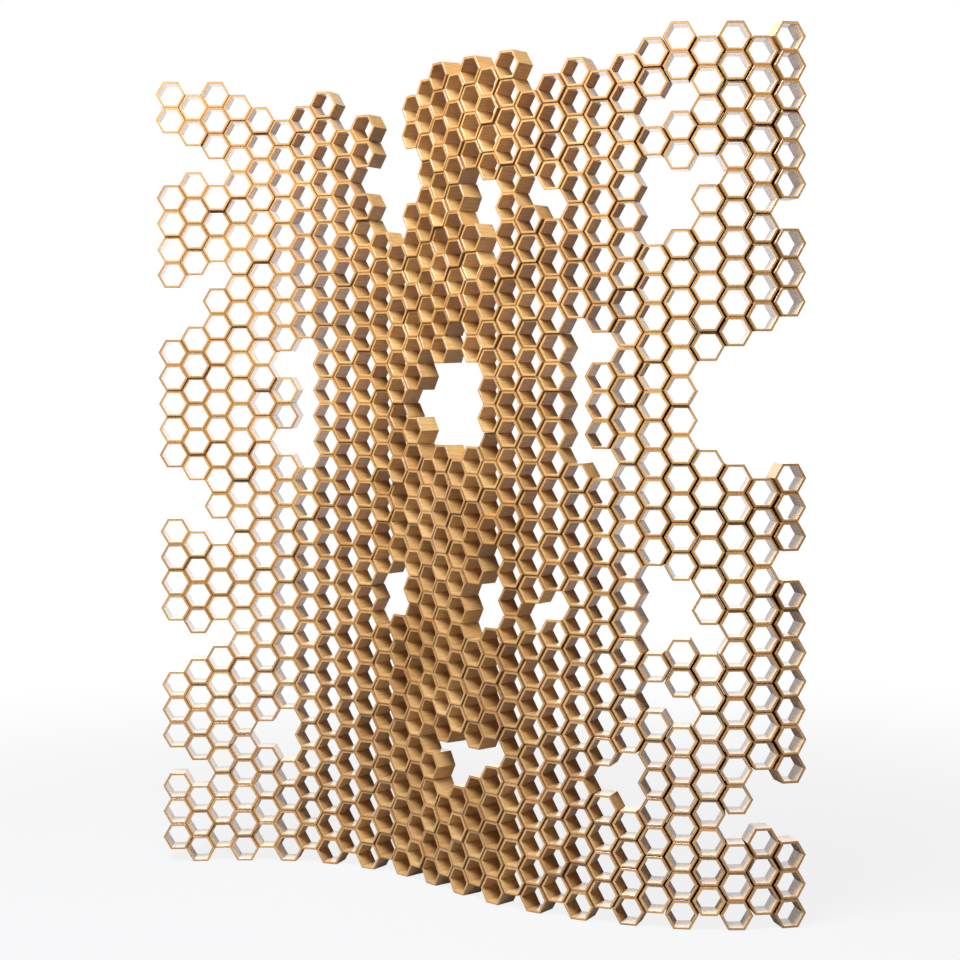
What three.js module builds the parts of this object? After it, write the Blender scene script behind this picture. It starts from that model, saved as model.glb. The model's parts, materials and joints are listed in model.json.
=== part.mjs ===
// Free-standing honeycomb room screen: short six-sided tubes of laminated wood,
// stacked in thirty upright columns with cell-sized holes and a ragged top.
//
// Every two neighbouring columns form one rigid leaf. The leaves stand edge to edge
// in an S-curve and turn on each other about the upright line where they touch:
// the front edge where the curve is hollow, the back edge where it bulges.
// Where missing tubes split a leaf, each separate stack of tubes is one tier of it.
//
// Millimetres and degrees, +Z up, the front faces -Y, and the floor is at z = 0.

import * as THREE from 'three';

// ---- Driving dimensions ----------------------------------------------------------

const CELL_PITCH = 60; // height from one tube to the tube above it
const TUBE_DEPTH = 50; // length of a tube, front to back
const TUBE_WALL = 5.5; // thickness of the laminated wall
const SEAM_GAP = 0.6; // clearance between the tubes of two leaves

const COLUMNS_PER_LEAF = 2;
const FIRST_LEAF_TURN = 1.4; // turn of the leftmost leaf away from the front plane

// Turn of each leaf against the one on its left, from the left end to the right end.
// A minus sign is a hollow seam, which touches at its front edge.
const SEAM_BENDS = [0, -7, -13, -11, -13, -10, 0, 6, 10, 7, 8, 9, 11, 10];

// Columns from the left: the row of the top tube, and the rows that hold no tube.
// Row 0 is the lowest one, and odd columns stand on the floor, half a tube lower.
const COLUMNS = [
  { top: 29, missing: '3 7-8 13-14 20-21 26-27' },
  { top: 29, missing: '3 8 13-14 21-22 27' },
  { top: 29, missing: '8 12 22 26' },
  { top: 29, missing: '' },
  { top: 28, missing: '4' },
  { top: 28, missing: '4-5 16 19' },
  { top: 28, missing: '15-19' },
  { top: 29, missing: '' },
  { top: 27, missing: '' },
  { top: 28, missing: '26' },
  { top: 23, missing: '9-10' },
  { top: 23, missing: '10-11' },
  { top: 28, missing: '17 25-26' },
  { top: 29, missing: '5 16-19' },
  { top: 29, missing: '3-4 16-18' },
  { top: 29, missing: '4-5 16-20' },
  { top: 29, missing: '4 9-10 16-18 24-25' },
  { top: 29, missing: '5 10-12 23-25' },
  { top: 29, missing: '' },
  { top: 28, missing: '10 25' },
  { top: 28, missing: '10 24' },
  { top: 29, missing: '16-20' },
  { top: 28, missing: '4 15 19' },
  { top: 29, missing: '4-5' },
  { top: 29, missing: '7 9-11 23-25 27' },
  { top: 30, missing: '7 10-11 24-25 28' },
  { top: 29, missing: '9 16-18 25' },
  { top: 30, missing: '3 16-19' },
  { top: 29, missing: '3-4 15-19' },
  { top: 30, missing: '3-4 12 16-20 24' },
];

// These columns stand nearly edge on to the front, so nothing shows through their
// tubes, and the tubes are kept as solid six-sided blocks.
const BLIND_COLUMNS = { first: 9, last: 17 };

// ---- Values that follow from them --------------------------------------------------

const SIDE = CELL_PITCH / Math.sqrt(3); // side of the six-sided cell
const COLUMN_PITCH = 1.5 * SIDE;
const LEAF_WIDTH = COLUMNS_PER_LEAF * COLUMN_PITCH;
const BORE_ACROSS_FLATS = CELL_PITCH - SEAM_GAP - 2 * TUBE_WALL;

// Corners lie on a grid of half a side by half a pitch. The six corners of a cell
// are listed anticlockwise from the right, in grid steps from its centre.
const CORNERS = [[2, 0], [1, 1], [-1, 1], [-2, 0], [-1, -1], [1, -1]];

const laminate = new THREE.MeshStandardMaterial({
  color: 0xb98d5c,
  roughness: 0.38,
  metalness: 0,
});

// ---- Cells ---------------------------------------------------------------------------

// "3 7-8" gives the rows 3, 7 and 8.
function rowsNamed(text) {
  const rows = new Set();
  for (const run of text.split(' ').filter(Boolean)) {
    const [first, last = first] = run.split('-').map(Number);
    for (let row = first; row <= last; row += 1) {
      rows.add(row);
    }
  }
  return rows;
}

// One tube's place: the centre in grid steps, counted from the leaf's middle line.
function makeCell(column, row) {
  const place = column % COLUMNS_PER_LEAF;
  const standsOnFloor = column % 2 === 1;
  return {
    gridX: 3 * place - 1.5 * (COLUMNS_PER_LEAF - 1),
    gridZ: 2 * row + (standsOnFloor ? 1 : 2),
    open: column < BLIND_COLUMNS.first || column > BLIND_COLUMNS.last,
  };
}

function cellsOfLeaf(leaf) {
  const cells = [];
  for (let place = 0; place < COLUMNS_PER_LEAF; place += 1) {
    const column = leaf * COLUMNS_PER_LEAF + place;
    const missing = rowsNamed(COLUMNS[column].missing);
    for (let row = 0; row <= COLUMNS[column].top; row += 1) {
      if (!missing.has(row)) {
        cells.push(makeCell(column, row));
      }
    }
  }
  return cells;
}

// Two cells share a side when their centres are one step apart on the honeycomb.
function touch(a, b) {
  const across = Math.abs(a.gridX - b.gridX);
  const up = Math.abs(a.gridZ - b.gridZ);
  return (across === 0 && up === 2) || (across === 3 && up === 1);
}

// Splits a leaf's cells into its tiers, the lowest first.
function tiersOf(cells) {
  const waiting = new Set([...cells].sort((a, b) => a.gridZ - b.gridZ));
  const tiers = [];
  while (waiting.size > 0) {
    const [seed] = waiting;
    waiting.delete(seed);
    const tier = [seed];
    for (const member of tier) {
      for (const other of waiting) {
        if (touch(member, other)) {
          waiting.delete(other);
          tier.push(other);
        }
      }
    }
    tiers.push(tier);
  }
  return tiers;
}

// ---- Outlines ------------------------------------------------------------------------

const cornerKey = ([x, z]) => `${x}:${z}`;

// The sides of a tier that no second cell shares, as a map from start to end corner.
function freeSides(tier) {
  const sides = new Map();
  for (const cell of tier) {
    const ring = CORNERS.map(([x, z]) => [cell.gridX + x, cell.gridZ + z]);
    ring.forEach((start, index) => {
      const end = ring[(index + 1) % ring.length];
      sides.set(`${cornerKey(start)}>${cornerKey(end)}`, { start, end });
    });
  }
  const free = new Map();
  for (const { start, end } of sides.values()) {
    if (!sides.has(`${cornerKey(end)}>${cornerKey(start)}`)) {
      free.set(cornerKey(start), { start, end });
    }
  }
  return free;
}

// Closed loops round a tier: anticlockwise outside, clockwise round enclosed holes.
function outlineLoops(tier) {
  const free = freeSides(tier);
  const loops = [];
  while (free.size > 0) {
    const loop = [];
    let [side] = free.values();
    while (side) {
      loop.push(new THREE.Vector2(side.start[0] * SIDE / 2, side.start[1] * CELL_PITCH / 2));
      free.delete(cornerKey(side.start));
      side = free.get(cornerKey(side.end));
    }
    loops.push(loop);
  }
  return loops;
}

// Draws a loop back into the material on its left, by the same amount on every side.
function drawIn(loop, amount) {
  return loop.map((corner, index) => {
    const before = loop[(index + loop.length - 1) % loop.length];
    const after = loop[(index + 1) % loop.length];
    const sideIn = corner.clone().sub(before).normalize();
    const sideOut = after.clone().sub(corner).normalize();
    const normalIn = new THREE.Vector2(-sideIn.y, sideIn.x);
    const normalOut = new THREE.Vector2(-sideOut.y, sideOut.x);
    const shift = normalIn.add(normalOut);
    return corner.clone().addScaledVector(shift, (2 * amount) / shift.lengthSq());
  });
}

function boreLoop(cell) {
  const scale = BORE_ACROSS_FLATS / CELL_PITCH;
  return CORNERS.map(([x, z]) => new THREE.Vector2(
    (cell.gridX + scale * x) * SIDE / 2,
    (cell.gridZ + scale * z) * CELL_PITCH / 2,
  ));
}

// ---- Pieces --------------------------------------------------------------------------

// One tier: its outline carried through the depth, with a six-sided bore in each tube.
function tierGeometry(tier) {
  const [outside, ...enclosed] = outlineLoops(tier)
    .sort((a, b) => THREE.ShapeUtils.area(b) - THREE.ShapeUtils.area(a))
    .map((loop) => drawIn(loop, SEAM_GAP / 2));
  const shape = new THREE.Shape(outside);
  const bores = tier.filter((cell) => cell.open).map(boreLoop);
  shape.holes = [...enclosed, ...bores].map((loop) => new THREE.Path(loop));
  const geometry = new THREE.ExtrudeGeometry(shape, {
    depth: TUBE_DEPTH,
    bevelEnabled: false,
  });
  geometry.translate(0, 0, -TUBE_DEPTH / 2);
  geometry.rotateX(Math.PI / 2);
  return geometry;
}

function makeLeaf(leaf) {
  const group = new THREE.Group();
  const leafName = `leaf_${String(leaf + 1).padStart(2, '0')}`;
  tiersOf(cellsOfLeaf(leaf)).forEach((tier, index) => {
    const mesh = new THREE.Mesh(tierGeometry(tier), laminate);
    mesh.name = `${leafName}_tier_${index + 1}`;
    group.add(mesh);
  });
  return group;
}

// Hangs a leaf on the seam line at its left neighbour's touching edge, front or back.
function hangOn(neighbour, leaf, bend) {
  const edge = bend <= 0 ? -TUBE_DEPTH / 2 : TUBE_DEPTH / 2;
  const seam = new THREE.Group();
  seam.position.set(LEAF_WIDTH / 2, edge, 0);
  seam.rotation.z = THREE.MathUtils.degToRad(bend);
  leaf.position.set(LEAF_WIDTH / 2, -edge, 0);
  seam.add(leaf);
  neighbour.add(seam);
}

// ---- The screen ----------------------------------------------------------------------

function makeScreen() {
  const leafCount = COLUMNS.length / COLUMNS_PER_LEAF;
  const leaves = Array.from({ length: leafCount }, (_, leaf) => makeLeaf(leaf));
  SEAM_BENDS.forEach((bend, seam) => hangOn(leaves[seam], leaves[seam + 1], bend));

  const screen = new THREE.Group();
  screen.add(leaves[0]);
  screen.rotation.z = THREE.MathUtils.degToRad(FIRST_LEAF_TURN);
  const box = new THREE.Box3().setFromObject(screen, true);
  const centre = box.getCenter(new THREE.Vector3());
  screen.position.set(-centre.x, -centre.y, -box.min.z);
  return screen;
}

export default makeScreen();
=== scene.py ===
"""Looks of a free-standing honeycomb room screen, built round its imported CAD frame.

The screen is made of short six-sided tubes of lacquered laminate, stacked in thirty
upright columns that follow an S-curve. The frame gives the leaves, which are flat
runs of two columns, and where each has tubes. Every tube is made here as a piece of
its own shape, with open ends, broken rim edges, a little play in its seat and its own
shade of wood. The tubes of one CAD solid are one mesh, which stands for that solid.

Lengths are metres and angles degrees, unless a name says otherwise.
"""

import json
import logging
from dataclasses import dataclass, field
from enum import Enum

import bpy
import numpy as np
from mathutils import Matrix, Vector
from mathutils.bvhtree import BVHTree

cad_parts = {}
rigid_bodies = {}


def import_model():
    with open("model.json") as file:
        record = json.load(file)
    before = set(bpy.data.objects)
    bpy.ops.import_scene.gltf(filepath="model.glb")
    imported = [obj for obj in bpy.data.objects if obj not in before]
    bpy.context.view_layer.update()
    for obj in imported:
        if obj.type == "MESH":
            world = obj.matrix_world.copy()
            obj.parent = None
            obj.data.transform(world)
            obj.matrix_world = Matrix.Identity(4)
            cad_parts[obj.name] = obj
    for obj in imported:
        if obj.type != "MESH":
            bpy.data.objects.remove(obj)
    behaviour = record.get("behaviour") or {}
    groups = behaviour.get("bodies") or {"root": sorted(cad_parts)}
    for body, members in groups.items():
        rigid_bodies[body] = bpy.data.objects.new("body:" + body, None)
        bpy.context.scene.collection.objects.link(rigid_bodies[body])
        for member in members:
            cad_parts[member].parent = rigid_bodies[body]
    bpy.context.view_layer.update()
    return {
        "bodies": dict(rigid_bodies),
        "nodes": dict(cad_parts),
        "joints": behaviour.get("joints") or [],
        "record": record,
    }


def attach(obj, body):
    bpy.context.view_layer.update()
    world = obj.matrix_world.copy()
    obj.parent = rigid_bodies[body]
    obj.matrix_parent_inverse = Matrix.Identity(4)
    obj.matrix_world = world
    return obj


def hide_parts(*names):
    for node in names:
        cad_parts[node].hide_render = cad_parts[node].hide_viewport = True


LOG = logging.getLogger("honeycomb_screen")

CELL_PITCH = 0.060
COLUMN_PITCH = 1.5 * CELL_PITCH / np.sqrt(3.0)
ROWS = 31
SIDES = 6
PROFILE_POINTS = 8
CORNER_ANGLES = np.radians(np.arange(SIDES) * 360.0 / SIDES)
APOTHEM_TO_CORNER = 2.0 / np.sqrt(3.0)
OUTER_WALL_STEP = 3
NOISE_BAND = (0.3, 0.7)
WHITE = (1.0, 1.0, 1.0, 1.0)

# Steps in column and row to the tube on each side, anticlockwise from the upper right,
# for the left column of a leaf and for the right one, which stands half a tube lower.
BESIDE_LEFT = ((1, 1), (0, 1), (-1, 1), (-1, 0), (0, -1), (1, 0))
BESIDE_RIGHT = ((1, 0), (0, 1), (-1, 0), (-1, -1), (0, -1), (1, -1))


class TouchingEdge(Enum):
    """The edge on which neighbouring tubes touch where the screen bends."""

    FRONT = -1.0
    BACK = 1.0


# ---- Shapes ---------------------------------------------------------------------------


@dataclass(frozen=True)
class TubeSection:
    """The wall of one six-sided tube, as a closed profile carried round the hexagon."""

    across_flats: float = 0.0595
    depth: float = 0.0500
    wall: float = 0.0052
    edge: float = 0.0005

    def profile(self) -> np.ndarray:
        """Gives the wall's profile: flat distance from the axis, depth, and ply.

        The eight points run from the bore's front end over the front rim, along the
        outside, and back over the rear rim. Ply is 0 on the bore and 1 outside.

        Returns:
            An array of 8 rows: distance from the axis to the flat, depth, ply.
        """
        inner = self.across_flats / 2.0 - self.wall
        outer = self.across_flats / 2.0
        half = self.depth / 2.0
        step = self.edge / self.wall
        front = [
            (inner, self.edge - half, 0.0),
            (inner + self.edge, -half, step),
            (outer - self.edge, -half, 1.0 - step),
            (outer, self.edge - half, 1.0),
        ]
        back = [(flat, -depth, ply) for flat, depth, ply in reversed(front)]
        return np.array(front + back)

    def points(self) -> np.ndarray:
        """Carries the profile round the six corners.

        A corner lies at 2/sqrt(3) times the flat distance from the axis, in the
        direction of 0, 60, ... 300 degrees from the tube's right-hand corner.

        Returns:
            An array of shape (6, 8, 3): across, depth and up.
        """
        profile = self.profile()
        reach = profile[None, :, 0] * APOTHEM_TO_CORNER
        across = reach * np.cos(CORNER_ANGLES)[:, None]
        up = reach * np.sin(CORNER_ANGLES)[:, None]
        depth = np.broadcast_to(profile[None, :, 1], across.shape)
        return np.stack([across, depth, up], axis=-1)

    def quads(self) -> np.ndarray:
        """Joins each point with the next one round the hexagon and along the profile.

        Returns:
            An array of shape (48, 4) of point numbers, faces outward.
        """
        corner, step = np.meshgrid(np.arange(SIDES), np.arange(PROFILE_POINTS), indexing="ij")
        next_corner = (corner + 1) % SIDES
        next_step = (step + 1) % PROFILE_POINTS
        quads = np.stack(
            [
                corner * PROFILE_POINTS + step,
                next_corner * PROFILE_POINTS + step,
                next_corner * PROFILE_POINTS + next_step,
                corner * PROFILE_POINTS + next_step,
            ],
            axis=-1,
        )
        return quads.reshape(-1, 4)

    def surface_map(self) -> np.ndarray:
        """Unrolls the wall: length round the hexagon and length along the profile.

        Returns:
            An array of shape (48, 4, 2) in metres, in the order of the quads.
        """
        profile = self.profile()
        steps = np.linalg.norm(np.roll(profile[:, :2], -1, axis=0) - profile[:, :2], axis=1)
        along = np.concatenate([[0.0], np.cumsum(steps)])
        side = self.across_flats / np.sqrt(3.0)
        corner, step = np.meshgrid(np.arange(SIDES), np.arange(PROFILE_POINTS), indexing="ij")
        start, end = corner * side, (corner + 1) * side
        low, high = along[step], along[step + 1]
        corners = [(start, low), (end, low), (end, high), (start, high)]
        return np.stack([np.stack(pair, axis=-1) for pair in corners], axis=-2).reshape(-1, 4, 2)


@dataclass(frozen=True)
class Play:
    """How far tubes stand off their true seats, as normal spreads."""

    turn: float = 0.65
    nod: float = 0.60
    roll: float = 0.25
    slide: float = 0.0020
    rise: float = 0.00015

    def turns(self, rng: np.random.Generator, count: int) -> np.ndarray:
        """Draws small rotations about the up, across and depth axes.

        Args:
            rng: Source of the draws.
            count: Number of tubes.

        Returns:
            An array of shape (count, 3, 3) of rotation matrices, exact to first order
            and then made orthogonal.
        """
        yaw, nod, roll = (
            np.radians(rng.normal(0.0, spread, count).clip(-2.0 * spread, 2.0 * spread))
            for spread in (self.turn, self.nod, self.roll)
        )
        skew = np.zeros((count, 3, 3))
        skew[:, 0, 1], skew[:, 1, 0] = -yaw, yaw
        skew[:, 1, 2], skew[:, 2, 1] = -nod, nod
        skew[:, 0, 2], skew[:, 2, 0] = roll, -roll
        left, _, right = np.linalg.svd(np.eye(3) + skew)
        return left @ right

    def shifts(self, rng: np.random.Generator, count: int) -> np.ndarray:
        """Draws small moves along the depth and up axes, as an array (count, 3)."""
        shift = np.zeros((count, 3))
        shift[:, 1] = rng.normal(0.0, self.slide, count)
        shift[:, 2] = rng.normal(0.0, self.rise, count)
        limit = 2.0 * np.array([0.0, self.slide, self.rise])
        return shift.clip(-limit, limit)


# ---- Finishes -------------------------------------------------------------------------


class Nodes:
    """A node tree under construction: adds nodes and joins them."""

    def __init__(self, owner: bpy.types.ID) -> None:
        """Empties the node tree of a material or a world."""
        owner.use_nodes = True
        self.tree = owner.node_tree
        self.tree.nodes.clear()

    def add(self, kind: str, inputs: dict | None = None, **settings: object) -> bpy.types.Node:
        """Adds a node.

        Args:
            kind: Blender's type name of the node.
            inputs: Values or output sockets, by the input's name or number.
            **settings: Attributes to set on the node before its inputs.

        Returns:
            The new node.
        """
        node = self.tree.nodes.new(kind)
        for key, value in settings.items():
            setattr(node, key, value)
        for key, value in (inputs or {}).items():
            if isinstance(value, bpy.types.NodeSocket):
                self.tree.links.new(value, node.inputs[key])
            else:
                node.inputs[key].default_value = value
        return node

    def blend(
        self, share: object, low: object, high: object, mode: str = "MIX"
    ) -> bpy.types.NodeSocket:
        """Mixes two colours.

        Args:
            share: Share of the second colour, a number or a socket.
            low: First colour, or its socket.
            high: Second colour, or its socket.
            mode: Blender's name of the way to mix.

        Returns:
            The colour socket of the result.
        """
        node = self.add("ShaderNodeMix", data_type="RGBA", blend_type=mode)
        for number, value in ((0, share), (6, low), (7, high)):
            if isinstance(value, bpy.types.NodeSocket):
                self.tree.links.new(value, node.inputs[number])
            else:
                node.inputs[number].default_value = value
        return node.outputs[2]

    def scale_range(
        self, value: object, low: float, high: float, to_low: float, to_high: float
    ) -> bpy.types.NodeSocket:
        """Maps the range low..high of a socket smoothly to to_low..to_high.

        Args:
            value: The socket.
            low: Value that gives to_low, as smaller ones do.
            high: Value that gives to_high, as larger ones do.
            to_low: Result at the low end.
            to_high: Result at the high end.

        Returns:
            The socket of the result.
        """
        node = self.add(
            "ShaderNodeMapRange",
            {
                "Value": value,
                "From Min": low,
                "From Max": high,
                "To Min": to_low,
                "To Max": to_high,
            },
            interpolation_type="SMOOTHSTEP",
        )
        return node.outputs["Result"]

    def math(self, operation: str, *values: object) -> bpy.types.NodeSocket:
        """Works out one step of arithmetic on numbers or sockets.

        Args:
            operation: Blender's name of the operation.
            *values: The numbers or sockets, in their order.

        Returns:
            The socket of the result.
        """
        return self.add("ShaderNodeMath", dict(enumerate(values)), operation=operation).outputs[0]


class Shader(Nodes):
    """A material under construction."""

    def __init__(self, name: str) -> None:
        """Starts an empty material of that name."""
        self.material = bpy.data.materials.new(name)
        super().__init__(self.material)

    def fibres(self, width: float, length: float) -> bpy.types.NodeSocket:
        """Gives fine streaks along the tube's depth, from its unrolled surface.

        Args:
            width: Width of a fibre.
            length: Length over which it changes.

        Returns:
            The socket of the streaks, about 0.5 on average.
        """
        unrolled = self.add("ShaderNodeUVMap", uv_map="surface")
        stretched = self.add(
            "ShaderNodeMapping",
            {"Vector": unrolled.outputs["UV"], "Scale": (1.0 / width, 1.0 / length, 1.0)},
        )
        noise = self.add(
            "ShaderNodeTexNoise",
            {"Vector": stretched.outputs["Vector"], "Scale": 1.0, "Detail": 2.0, "Roughness": 0.5},
        )
        return noise.outputs["Fac"]


@dataclass(frozen=True)
class LacqueredLaminate:
    """Honey-brown wood laminate under a clear satin lacquer."""

    name: str = "lacquered_laminate"
    light_honey: tuple = (0.87, 0.560, 0.210, 1.0)
    deep_honey: tuple = (0.58, 0.305, 0.083, 1.0)
    fibre_shade: tuple = (0.340, 0.160, 0.045, 1.0)
    # Rim shades: partly the laminate's own plies, partly a painted highlight on the inner edge and
    # painted shade towards the seams between tubes.
    inner_ply_and_edge_highlight: tuple = (1.0, 0.93, 0.78, 1.0)
    outer_ply_and_seam_shade: tuple = (0.70, 0.54, 0.34, 1.0)
    fibre_width: float = 0.0045
    fibre_length: float = 0.040
    fibre_band: tuple = (0.35, 0.75)
    fibre_share: float = 0.40
    patch_size: float = 0.35
    patch_shade: tuple = (0.88, 0.86, 0.84, 1.0)
    roughness: tuple = (0.45, 0.60)
    bare_gloss: float = 0.60
    lacquer: float = 1.0
    lacquer_roughness: float = 0.14
    lacquer_ior: float = 1.65
    grain_depth: float = 0.00025
    grain_strength: float = 0.05

    def make(self) -> bpy.types.Material:
        """Builds the material.

        Fibres are noise on the tube's own unrolled surface, drawn out along its depth.
        Each tube has its own shade, and the rim runs from a light inner ply to a darker
        outer one: partly the laminate's own plies, partly a painted highlight on the inner
        edge and painted shade towards the seams between tubes.

        Returns:
            The material.
        """
        shader = Shader(self.name)
        fibres = shader.fibres(self.fibre_width, self.fibre_length)
        shade = shader.add("ShaderNodeAttribute", attribute_name="shade")
        wood = shader.blend(shade.outputs["Fac"], self.deep_honey, self.light_honey)
        fibre_share = shader.scale_range(fibres, *self.fibre_band, 0.0, self.fibre_share)
        wood = shader.blend(fibre_share, wood, self.fibre_shade)
        wood = shader.blend(1.0, wood, self._patches(shader), "MULTIPLY")
        # The rim's ply colours include a painted edge highlight and painted shade towards the
        # seams.
        wood = shader.blend(1.0, wood, self._plies_and_rim_shading(shader), "MULTIPLY")
        bump = shader.add(
            "ShaderNodeBump",
            {
                "Height": fibres,
                "Strength": self.grain_strength,
                "Distance": self.grain_depth,
            },
        )
        surface = shader.add(
            "ShaderNodeBsdfPrincipled",
            {
                "Base Color": wood,
                "Roughness": shader.scale_range(fibres, *NOISE_BAND, *self.roughness),
                "Normal": bump.outputs["Normal"],
                "IOR": 1.5,
                "Specular IOR Level": self.bare_gloss,
                "Coat Weight": self.lacquer,
                "Coat Roughness": self.lacquer_roughness,
                "Coat IOR": self.lacquer_ior,
            },
        )
        shader.add("ShaderNodeOutputMaterial", {"Surface": surface.outputs["BSDF"]})
        return shader.material

    def _patches(self, shader: Shader) -> bpy.types.NodeSocket:
        """Gives slow changes of shade over the whole screen."""
        place = shader.add("ShaderNodeTexCoord")
        noise = shader.add(
            "ShaderNodeTexNoise",
            {"Vector": place.outputs["Object"], "Scale": 1.0 / self.patch_size, "Detail": 2.0},
        )
        share = shader.scale_range(noise.outputs["Fac"], *NOISE_BAND, 0.0, 1.0)
        return shader.blend(share, self.patch_shade, WHITE)

    def _plies_and_rim_shading(self, shader: Shader) -> bpy.types.NodeSocket:
        """Gives the rim's colour, from the light inner ply to the darker outer ply: partly the
        laminate's own plies, partly a painted highlight on the inner edge and painted shade
        towards the seams between tubes.
        """
        ply = shader.add("ShaderNodeAttribute", attribute_name="ply")
        ramp = shader.add("ShaderNodeValToRGB", {"Fac": ply.outputs["Fac"]})
        stops = ramp.color_ramp.elements
        stops[0].position, stops[0].color = 0.0, WHITE
        stops[1].position, stops[1].color = 1.0, WHITE
        for position, colour in (
            (0.04, self.inner_ply_and_edge_highlight),
            (0.50, self.inner_ply_and_edge_highlight),
            (0.78, self.outer_ply_and_seam_shade),
            (0.96, self.outer_ply_and_seam_shade),
        ):
            stop = stops.new(position)
            stop.color = colour
        return ramp.outputs["Color"]


@dataclass(frozen=True)
class BareSeamShadedLaminate:
    """The same wood without lacquer where two tubes touch, darkened as painted shade in the seams
    between tubes.
    """

    name: str = "bare_laminate_painted_seam_shade"
    # Both streak shades sit far below the lacquered wood: painted shade in the seams where tubes
    # touch.
    shaded_pale: tuple = (0.42, 0.215, 0.080, 1.0)
    shaded_dark: tuple = (0.27, 0.125, 0.042, 1.0)
    fibre_width: float = 0.0045
    fibre_length: float = 0.040
    fibre_band: tuple = (0.35, 0.75)
    roughness: float = 0.90
    gloss: float = 0.0

    def make(self) -> bpy.types.Material:
        """Builds the material: streaks between two dark shades, which are painted seam shade, and
        no gloss.
        """
        shader = Shader(self.name)
        fibres = shader.fibres(self.fibre_width, self.fibre_length)
        share = shader.scale_range(fibres, *self.fibre_band, 0.0, 1.0)
        surface = shader.add(
            "ShaderNodeBsdfPrincipled",
            {
                "Base Color": shader.blend(share, self.shaded_pale, self.shaded_dark),
                "Roughness": self.roughness,
                "Specular IOR Level": self.gloss,
            },
        )
        shader.add("ShaderNodeOutputMaterial", {"Surface": surface.outputs["BSDF"]})
        return shader.material


@dataclass(frozen=True)
class StudioWhite:
    """Pale floor: pure white to the camera where nothing shades it."""

    name: str
    colour: tuple = (0.34, 0.34, 0.34, 1.0)
    own_white: float = 0.86
    mirrored_white: float = 0.10
    white_from: float = 1.2
    white_at: float = 3.4
    backdrop_from: tuple = (0.9, 2.9)
    backdrop_to: tuple = (1.9, 2.9)

    def make(self) -> bpy.types.Material:
        """Builds the material: a matt white, with a share of plain white to the camera.

        The share grows to the whole with the distance from the middle of the floor, so
        that no horizon shows. Reflections see it only behind the screen, and little to
        the right of the backdrop.

        Returns:
            The material.
        """
        shader = Shader(self.name)
        place = shader.add("ShaderNodeTexCoord").outputs["Object"]
        away = shader.add("ShaderNodeVectorMath", {0: place}, operation="LENGTH").outputs["Value"]
        parts = shader.add("ShaderNodeSeparateXYZ", {0: place})
        path = shader.add("ShaderNodeLightPath")
        seen = shader.math(
            "MULTIPLY",
            path.outputs["Is Camera Ray"],
            shader.scale_range(away, self.white_from, self.white_at, self.own_white, 1.0),
        )
        mirrored = shader.math(
            "MULTIPLY",
            path.outputs["Is Glossy Ray"],
            shader.scale_range(parts.outputs["Y"], *self.backdrop_from, self.mirrored_white, 1.0),
        )
        bounded = shader.math(
            "MULTIPLY",
            mirrored,
            shader.scale_range(parts.outputs["X"], *self.backdrop_to, 1.0, 0.1),
        )
        share = shader.math("MAXIMUM", seen, bounded)
        matt = shader.add("ShaderNodeBsdfDiffuse", {"Color": self.colour})
        white = shader.add("ShaderNodeEmission", {"Color": WHITE, "Strength": 1.0})
        mixed = shader.add(
            "ShaderNodeMixShader",
            {0: share, 1: matt.outputs["BSDF"], 2: white.outputs["Emission"]},
        )
        shader.add("ShaderNodeOutputMaterial", {"Surface": mixed.outputs["Shader"]})
        return shader.material


# ---- The screen -----------------------------------------------------------------------


@dataclass
class Leaf:
    """A flat run of two columns, as the frame holds it."""

    body: str
    nodes: list[str]
    heading: float = 0.0
    middle: np.ndarray = field(default_factory=lambda: np.zeros(2))

    def __post_init__(self) -> None:
        """Reads the heading and the middle from the CAD solids of the leaf."""
        points = np.concatenate([mesh_points(name) for name in self.nodes])
        normal = front_normal(self.nodes)
        self.heading = float(np.degrees(np.arctan2(normal[0], -normal[1])))
        across, back = self.axes(0.0)
        spans = [points[:, :2] @ axis for axis in (across, back)]
        centre = [(span.min() + span.max()) / 2.0 for span in spans]
        self.middle = across * centre[0] + back * centre[1]

    def axes(self, turn: float) -> tuple[np.ndarray, np.ndarray]:
        """Gives the plan directions across and to the back, for a column of the leaf.

        Args:
            turn: How far the column is turned against the leaf.

        Returns:
            Two unit vectors in plan.
        """
        angle = np.radians(self.heading + turn)
        across = np.array([np.cos(angle), np.sin(angle)])
        back = np.array([-np.sin(angle), np.cos(angle)])
        return across, back


@dataclass
class Column:
    """One upright stack of tubes: its place in plan and its turn."""

    leaf: Leaf
    number: int
    turn: float
    edge: TouchingEdge

    @property
    def side(self) -> int:
        """Gives -1 for the left column of the leaf and 1 for the right one."""
        return 1 if self.number % 2 else -1

    def plan(self, depth: float) -> np.ndarray:
        """Places the column's axis: turned about the touching edge of the leaf's middle.

        Args:
            depth: Depth of a tube.

        Returns:
            The plan position of the middle of the column's tubes.
        """
        _, leaf_back = self.leaf.axes(0.0)
        across, back = self.leaf.axes(self.turn)
        pivot = self.leaf.middle + leaf_back * self.edge.value * depth / 2.0
        to_side = across * self.side * COLUMN_PITCH / 2.0
        return pivot + to_side - back * self.edge.value * depth / 2.0

    def heights(self, seam_gap: float) -> np.ndarray:
        """Gives the height of each row's tube axis; right columns stand on the floor."""
        lift = 0.5 if self.side > 0 else 1.0
        return (np.arange(ROWS) + lift) * CELL_PITCH - seam_gap / 2.0


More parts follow.
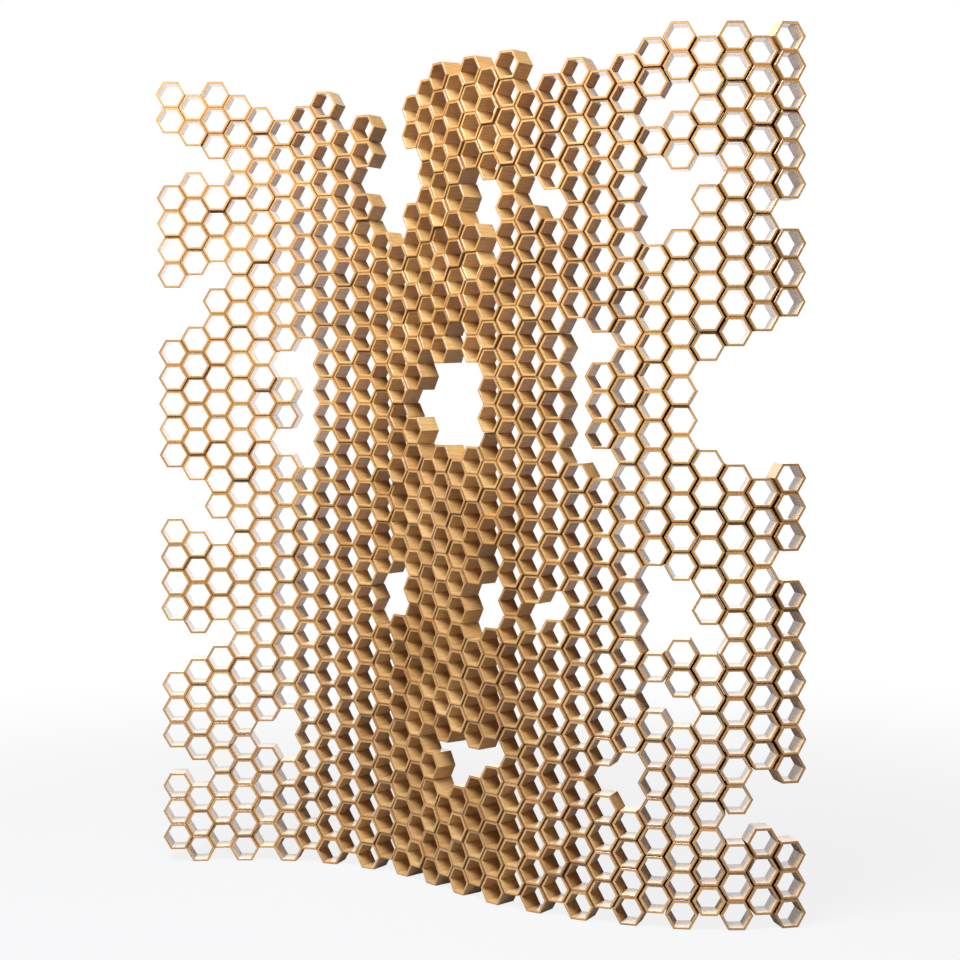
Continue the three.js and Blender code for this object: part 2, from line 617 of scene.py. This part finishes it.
@dataclass(frozen=True)
class Seat:
    """Where one tube stands: its column, its row from the floor and its axis's height."""

    column: Column
    row: int
    height: float

    def key(self) -> tuple[int, int]:
        """Gives the seat's column number and row."""
        return self.column.number, self.row

    def covered_sides(self, taken: set[tuple[int, int]]) -> list[bool]:
        """Tells which sides touch another tube.

        Args:
            taken: Keys of all the seats that hold a tube.

        Returns:
            Six answers, anticlockwise from the upper right side.
        """
        steps = BESIDE_RIGHT if self.column.side > 0 else BESIDE_LEFT
        number, row = self.key()
        return [(number + across, row + up) in taken for across, up in steps]


def mesh_points(node: str) -> np.ndarray:
    """Gives the points of a CAD solid as an array (count, 3)."""
    mesh = bpy.data.objects[node].data
    points = np.empty(len(mesh.vertices) * 3)
    mesh.vertices.foreach_get("co", points)
    return points.reshape(-1, 3)


def front_normal(nodes: list[str]) -> np.ndarray:
    """Finds which way a leaf faces.

    Only the tubes' open ends stand upright, so the upright faces that look forward
    give the leaf's direction: their normals are summed.

    Args:
        nodes: The leaf's CAD solids.

    Returns:
        The unit normal of the leaf's front.
    """
    total = np.zeros(3)
    for name in nodes:
        polygons = bpy.data.objects[name].data.polygons
        normals = np.empty(len(polygons) * 3)
        polygons.foreach_get("normal", normals)
        normals = normals.reshape(-1, 3)
        upright = np.abs(normals[:, 2]) < 0.1
        forward = normals[:, 1] < 0.0
        total += normals[upright & forward].sum(axis=0)
    return total / np.linalg.norm(total)


def solid_tree(node: str) -> BVHTree:
    """Gives a search tree of a CAD solid's faces."""
    mesh = bpy.data.objects[node].data
    return BVHTree.FromPolygons(
        [vertex.co for vertex in mesh.vertices], [list(face.vertices) for face in mesh.polygons]
    )


@dataclass
class HoneycombScreen:
    """All the tubes of the screen."""

    frame: dict
    section: TubeSection = field(default_factory=TubeSection)
    play: Play = field(default_factory=Play)
    finishes: tuple = (LacqueredLaminate(), BareSeamShadedLaminate())
    seam_gap: float = 0.0006
    end_turn: float = 5.0
    shade_bias: float = 1.8
    grain_reach: float = 9.0
    seed: int = 757

    def build(self) -> int:
        """Builds and dresses one mesh of tubes for each CAD solid.

        Returns:
            The number of tubes.
        """
        materials = [finish.make() for finish in self.finishes]
        leaves = self._leaves()
        seats = {}
        for number, leaf in enumerate(leaves):
            columns = self._columns(leaves, number)
            for node in leaf.nodes:
                seats[leaf.body, node] = self._seats_of(node, columns)
        taken = {seat.key() for group in seats.values() for seat in group}
        rng = np.random.default_rng(self.seed)
        for (body, node), group in seats.items():
            piece = self._piece(f"{node}_tubes", group, taken, rng)
            for material in materials:
                piece.data.materials.append(material)
            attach(piece, body)
            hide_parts(node)
            LOG.info("%s: %d tubes", piece.name, len(group))
        return len(taken)

    def _leaves(self) -> list[Leaf]:
        """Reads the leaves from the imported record, from left to right."""
        bodies = self.frame["record"]["behaviour"]["bodies"]
        return [Leaf(body, list(bodies[body])) for body in sorted(bodies)]

    def _columns(self, leaves: list[Leaf], number: int) -> list[Column]:
        """Turns the leaf's two columns so that the curve runs on evenly.

        A seam's bend is shared by four columns, two of each leaf, so each column turns
        by a quarter of it. The free ends have no seam: the left end stays flat, and the
        right end curls back a little more.

        Args:
            leaves: All the leaves.
            number: Which leaf.

        Returns:
            The left and the right column.
        """
        headings = [leaf.heading for leaf in leaves]
        before = headings[number] - headings[number - 1] if number > 0 else 0.0
        last = number == len(leaves) - 1
        after = 4.0 * self.end_turn if last else headings[number + 1] - headings[number]
        edge = TouchingEdge.BACK if before + after > 0.0 else TouchingEdge.FRONT
        return [
            Column(leaves[number], 2 * number, -before / 4.0, edge),
            Column(leaves[number], 2 * number + 1, after / 4.0, edge),
        ]

    def _seats_of(self, node: str, columns: list[Column]) -> list[Seat]:
        """Finds the seats of the tubes that a CAD solid holds.

        A line through the upper wall of each seat, along the tube, meets the solid
        where a tube stands there, and passes by where none does.

        Args:
            node: The CAD solid.
            columns: The two columns of its leaf.

        Returns:
            The seats, column by column.
        """
        tree = solid_tree(node)
        to_wall = (self.section.across_flats - self.section.wall) / 2.0
        reach = 4.0 * self.section.depth
        found = []
        for column in columns:
            across, back = column.leaf.axes(0.0)
            to_side = across * column.side * COLUMN_PITCH / 2.0
            seat = column.leaf.middle + to_side - back * reach / 2.0
            for row, height in enumerate(column.heights(self.seam_gap)):
                start = Vector((*seat, height + to_wall))
                if tree.ray_cast(start, Vector((*back, 0.0)), reach)[0] is not None:
                    found.append(Seat(column, row, float(height)))
        return found

    def _piece(
        self, name: str, seats: list[Seat], taken: set[tuple[int, int]], rng: np.random.Generator
    ) -> bpy.types.Object:
        """Makes one mesh of separate tubes.

        Each tube's points are turned by its play, then to its column's heading, and
        moved to its seat.

        Args:
            name: Name of the piece.
            seats: Where its tubes stand.
            taken: Keys of all the seats that hold a tube.
            rng: Source of the play and the shades.

        Returns:
            The new object, at the origin.
        """
        count = len(seats)
        local = self.section.points().reshape(-1, 3)
        loose = np.einsum("nij,pj->npi", self.play.turns(rng, count), local)
        loose += self.play.shifts(rng, count)[:, None, :]
        axes = [seat.column.leaf.axes(seat.column.turn) for seat in seats]
        across = np.array([pair[0] for pair in axes])
        back = np.array([pair[1] for pair in axes])
        plan = np.array([seat.column.plan(self.section.depth) for seat in seats])
        points = np.empty_like(loose)
        points[..., :2] = (
            plan[:, None, :]
            + loose[..., 0:1] * across[:, None, :]
            + loose[..., 1:2] * back[:, None, :]
        )
        points[..., 2] = loose[..., 2] + np.array([seat.height for seat in seats])[:, None]
        points[..., 2] = points[..., 2].clip(0.0)
        quads = self.section.quads()[None] + (np.arange(count) * len(local))[:, None, None]
        mesh = mesh_from_quads(name, points.reshape(-1, 3), quads.reshape(-1, 4))
        self._mark(mesh, count, rng)
        # Sides that touch another tube take the second material, whose dark colour is painted
        # shade in the seams.
        seam_shade_faces = np.zeros((count, SIDES, PROFILE_POINTS), dtype=np.int32)
        seam_shade_faces[:, :, OUTER_WALL_STEP] = [seat.covered_sides(taken) for seat in seats]
        mesh.polygons.foreach_set("material_index", seam_shade_faces.ravel())
        piece = bpy.data.objects.new(name, mesh)
        bpy.context.scene.collection.objects.link(piece)
        return piece

    def _mark(self, mesh: bpy.types.Mesh, count: int, rng: np.random.Generator) -> None:
        """Writes the unrolled surface, the ply and each tube's shade into the mesh.

        Args:
            mesh: The mesh of all the tubes.
            count: Number of tubes in it.
            rng: Source of the shades and of where each tube's grain starts.
        """
        unrolled = self.section.surface_map()
        starts = rng.uniform(0.0, self.grain_reach, (count, 1, 1, 2))
        layer = mesh.uv_layers.new(name="surface")
        layer.data.foreach_set("uv", (unrolled[None] + starts).astype(np.float32).ravel())
        profile = self.section.profile()
        ply = np.tile(profile[:, 2], SIDES * count)
        shade = np.repeat(rng.beta(self.shade_bias, self.shade_bias, count), SIDES * len(profile))
        for name, values in (("ply", ply), ("shade", shade)):
            attribute = mesh.attributes.new(name, "FLOAT", "POINT")
            attribute.data.foreach_set("value", values.astype(np.float32))


def mesh_from_quads(name: str, points: np.ndarray, quads: np.ndarray) -> bpy.types.Mesh:
    """Makes a flat-shaded mesh.

    Args:
        name: Name of the mesh.
        points: Array (count, 3).
        quads: Array (count, 4) of point numbers.

    Returns:
        The mesh.
    """
    mesh = bpy.data.meshes.new(name)
    mesh.vertices.add(len(points))
    mesh.vertices.foreach_set("co", points.astype(np.float32).ravel())
    mesh.loops.add(quads.size)
    mesh.loops.foreach_set("vertex_index", quads.astype(np.int32).ravel())
    mesh.polygons.add(len(quads))
    mesh.polygons.foreach_set("loop_start", np.arange(len(quads), dtype=np.int32) * 4)
    mesh.update(calc_edges=True)
    mesh.validate()
    mesh.shade_flat()
    return mesh


# ---- The studio -----------------------------------------------------------------------


@dataclass(frozen=True)
class Lamp:
    """A soft lamp with a flat panel that looks at a point."""

    name: str
    place: tuple
    aim: tuple
    width: float
    height: float
    power: float
    colour: tuple = (1.0, 1.0, 1.0)

    def make(self) -> bpy.types.Object:
        """Makes the lamp and turns it to its aim."""
        light = bpy.data.lights.new(self.name, "AREA")
        light.shape = "RECTANGLE"
        light.size = self.width
        light.size_y = self.height
        light.energy = self.power
        light.color = self.colour
        lamp = bpy.data.objects.new(self.name, light)
        lamp.location = self.place
        towards = Vector(self.aim) - Vector(self.place)
        lamp.rotation_euler = towards.to_track_quat("-Z", "Y").to_euler()
        lamp.visible_camera = False
        bpy.context.scene.collection.objects.link(lamp)
        return lamp


@dataclass(frozen=True)
class Camera:
    """The photograph's camera, fitted to the centres of the tubes."""

    place: tuple = (0.0433, -4.3312, 1.1550)
    focal_pixels: float = 1966.2
    frame_pixels: float = 960.0
    tilt: float = 1.876
    roll: float = -0.332
    centre_row: float = 434.07
    sensor: float = 36.0

    def make(self) -> bpy.types.Object:
        """Makes the camera and hands it to the scene."""
        data = bpy.data.cameras.new("camera")
        data.sensor_width = self.sensor
        data.sensor_fit = "HORIZONTAL"
        data.lens = self.focal_pixels / self.frame_pixels * self.sensor
        data.shift_y = (self.centre_row - self.frame_pixels / 2.0) / self.frame_pixels
        data.clip_end = 200.0
        camera = bpy.data.objects.new("camera", data)
        level = Matrix.Rotation(np.radians(90.0 - self.tilt), 4, "X")
        camera.matrix_world = (
            Matrix.Translation(self.place) @ level @ Matrix.Rotation(np.radians(self.roll), 4, "Z")
        )
        bpy.context.scene.collection.objects.link(camera)
        bpy.context.scene.camera = camera
        return camera


@dataclass(frozen=True)
class Studio:
    """Pale floor, white surroundings, soft lamps and the camera."""

    floor_half: float = 30.0
    room_light: float = 0.035
    room_colour: tuple = (1.0, 0.52, 0.26, 1.0)
    front_glow: float = 0.02
    backdrop_from: tuple = (0.45, 0.85)
    backdrop_to: tuple = (0.36, 0.60)
    lamps: tuple = (
        Lamp(
            name="key_lamp",
            place=(-1.09, -1.72, 4.09),
            aim=(0.0, 0.0, 1.0),
            width=2.2,
            height=2.2,
            power=335.0,
            colour=(0.94, 1.0, 1.18),
        ),
        Lamp(
            name="back_lamp",
            place=(-0.6, 4.2, 1.5),
            aim=(0.0, 0.0, 1.4),
            width=4.6,
            height=2.8,
            power=22.0,
        ),
    )

    def build(self) -> None:
        """Builds the stage, the lamps, the world and the camera."""
        self._floor()
        self._world()
        for lamp in self.lamps:
            lamp.make()
        Camera().make()
        bpy.context.scene.view_settings.view_transform = "Standard"

    def _floor(self) -> None:
        """Lays the floor, a large square at height 0."""
        half = self.floor_half
        corners = np.array(
            [[-half, -half, 0.0], [half, -half, 0.0], [half, half, 0.0], [-half, half, 0.0]]
        )
        mesh = mesh_from_quads("floor", corners, np.array([[0, 1, 2, 3]]))
        mesh.materials.append(StudioWhite("floor_white").make())
        floor = bpy.data.objects.new("floor", mesh)
        bpy.context.scene.collection.objects.link(floor)

    def _world(self) -> None:
        """Makes surroundings that look white and light the screen more gently.

        Reflections show the white backdrop behind the screen, which ends a little to the
        right of it, and a dim room elsewhere.
        """
        world = bpy.data.worlds.new("studio")
        nodes = Nodes(world)
        path = nodes.add("ShaderNodeLightPath")
        direction = nodes.add("ShaderNodeTexCoord").outputs["Generated"]
        parts = nodes.add("ShaderNodeSeparateXYZ", {0: direction})
        behind = nodes.scale_range(parts.outputs["Y"], *self.backdrop_from, 0.0, 1.0)
        left = nodes.scale_range(parts.outputs["X"], *self.backdrop_to, 1.0, 0.0)
        backdrop = nodes.math("MULTIPLY", behind, left)
        glow = nodes.math("MULTIPLY_ADD", backdrop, 1.0 - self.front_glow, self.front_glow)
        strength = nodes.math("MAXIMUM", glow, path.outputs["Is Camera Ray"])
        white = nodes.add("ShaderNodeBackground", {"Color": WHITE, "Strength": strength})
        room = nodes.add(
            "ShaderNodeBackground", {"Color": self.room_colour, "Strength": self.room_light}
        )
        mirrored = nodes.math(
            "MAXIMUM", path.outputs["Is Glossy Ray"], path.outputs["Is Transmission Ray"]
        )
        seen = nodes.math("MAXIMUM", mirrored, path.outputs["Is Camera Ray"])
        mixed = nodes.add(
            "ShaderNodeMixShader",
            {0: seen, 1: room.outputs["Background"], 2: white.outputs["Background"]},
        )
        nodes.add("ShaderNodeOutputWorld", {"Surface": mixed.outputs["Shader"]})
        bpy.context.scene.world = world


def main() -> None:
    """Builds the studio and the screen."""
    logging.basicConfig(level=logging.INFO, format="%(name)s: %(message)s")
    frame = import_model()
    Studio().build()
    count = HoneycombScreen(frame).build()
    LOG.info("screen: %d tubes in all", count)


if __name__ == "__main__":
    main()
